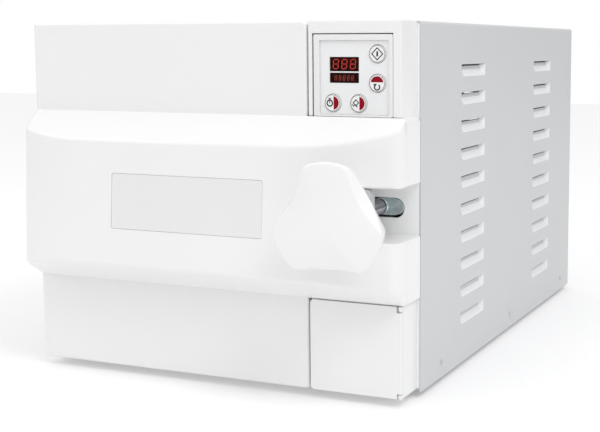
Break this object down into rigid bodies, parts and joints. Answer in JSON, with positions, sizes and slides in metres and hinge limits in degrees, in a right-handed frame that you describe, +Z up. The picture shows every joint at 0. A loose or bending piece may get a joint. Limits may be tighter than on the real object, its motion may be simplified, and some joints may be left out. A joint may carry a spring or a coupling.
{
  "type": "benchtop autoclave",
  "caption": "Benchtop steam autoclave: white box with a hinged pressure door closed by a three-lobed knob, a control column with keys and displays, louvred sides, and trays in a round chamber.",
  "frame": {"origin": "on the bench, under the middle of the machine's outer box", "axes": "+X to the machine's right as seen from the front, +Y to its back, +Z up"},
  "size_m": [0.445, 0.727, 0.374],
  "materials": {
    "casing_paint": "satin powder coat",
    "cover_white": "smooth white moulding",
    "knob_white": "smooth white moulding",
    "bezel_white": "satin",
    "overlay_grey": "fine matt film",
    "key_white": "satin printed key",
    "badge_grey": "satin plate",
    "display_glass": "dark red filter",
    "display_black": "matt",
    "stainless": "brushed",
    "bright_steel": "bright plated",
    "zinc_steel": "zinc plated",
    "brass_fitting": "machined",
    "silicone_seal": "moulded silicone",
    "black_rubber": "matt",
    "black_plastic": "matt",
    "red_plastic": "moulded",
    "mineral_wool": "felted",
    "circuit_green": "solder mask"
  },
  "bodies": {
    "housing": {"outer_casing": "casing_paint", "base_pan": "zinc_steel", "feet": "black_rubber", "rear_panel": "casing_paint", "front_plate": "casing_paint", "casing_screws": "zinc_steel", "chamber": "stainless", "heating_band": "zinc_steel", "insulation_blanket": "mineral_wool", "chamber_supports": "zinc_steel", "tray_rack": "stainless", "trays": "stainless", "steam_pipes": "stainless", "safety_valve": "brass_fitting", "pressure_sensor": "brass_fitting", "temperature_probe": "stainless", "solenoid_valve": "brass_fitting", "drain_nozzle": "brass_fitting", "power_inlet": "black_plastic", "inlet_pins": "bright_steel", "transformer": "zinc_steel", "board_bracket": "zinc_steel", "power_board": "circuit_green", "heater_relay": "black_plastic", "terminal_block": "black_plastic", "wiring_harness": "black_rubber", "side_column": "cover_white", "service_cover_pins": "zinc_steel", "power_switch_housing": "black_plastic", "drain_valve_body": "brass_fitting", "fuse_holders": "black_plastic", "control_bezel": "bezel_white", "control_overlay": "overlay_grey", "display_windows": "display_glass", "display_modules": "display_black", "keypad_board": "circuit_green", "hinge_brackets": "zinc_steel", "hinge_pins": "bright_steel"},
    "door": {"door_cover": "cover_white", "label_plate": "badge_grey", "door_frame_plate": "stainless", "door_crossbar": "zinc_steel", "crossbar_spacers": "zinc_steel", "pressure_lid": "stainless", "door_gasket": "silicone_seal", "lid_centre_bolt": "bright_steel", "hinge_arms": "zinc_steel", "hinge_screws": "bright_steel", "latch_bushing": "brass_fitting"},
    "latch": {"latch_knob": "knob_white", "knob_insert": "brass_fitting", "latch_spindle": "bright_steel", "latch_dog": "bright_steel"},
    "service_cover": {"service_cover": "cover_white"},
    "power_rocker": {"power_switch_rocker": "red_plastic"},
    "drain_knob": {"drain_valve_knob": "black_plastic"},
    "start_key": {"start_button": "key_white"},
    "cycle_key": {"cycle_button": "key_white"},
    "time_key": {"time_button": "key_white"},
    "program_key": {"program_button": "key_white"}
  },
  "joints": [
    {"name": "door_hinge", "type": "hinge", "parent": "housing", "child": "door", "pos_m": [-0.21076, -0.2505, 0.192], "axis": [0, 0, -1], "range_deg": [0, 100]},
    {"name": "latch_turn", "type": "hinge", "parent": "door", "child": "latch", "pos_m": [0.16724, -0.3335, 0.1905], "axis": [0, 1, 0], "range_deg": [0, 90]},
    {"name": "service_cover_hinge", "type": "hinge", "parent": "housing", "child": "service_cover", "pos_m": [0.20724, -0.2775, 0.055], "axis": [0, 0, 1], "range_deg": [0, 100]},
    {"name": "rocker_tilt", "type": "hinge", "parent": "housing", "child": "power_rocker", "pos_m": [0.14094, -0.236, 0.049], "axis": [-1, 0, 0], "range_deg": [0, 20]},
    {"name": "drain_turn", "type": "hinge", "parent": "housing", "child": "drain_knob", "pos_m": [0.18894, -0.2495, 0.073], "axis": [0, 1, 0], "range_deg": [0, 90]},
    {"name": "start_press", "type": "slide", "parent": "housing", "child": "start_key", "axis": [0, 1, 0], "range_m": [0, 0.0008], "stiffness_N_per_m": 400},
    {"name": "cycle_press", "type": "slide", "parent": "housing", "child": "cycle_key", "axis": [0, 1, 0], "range_m": [0, 0.0008], "stiffness_N_per_m": 400},
    {"name": "time_press", "type": "slide", "parent": "housing", "child": "time_key", "axis": [0, 1, 0], "range_m": [0, 0.0008], "stiffness_N_per_m": 400},
    {"name": "program_press", "type": "slide", "parent": "housing", "child": "program_key", "axis": [0, 1, 0], "range_m": [0, 0.0008], "stiffness_N_per_m": 400}
  ]
}
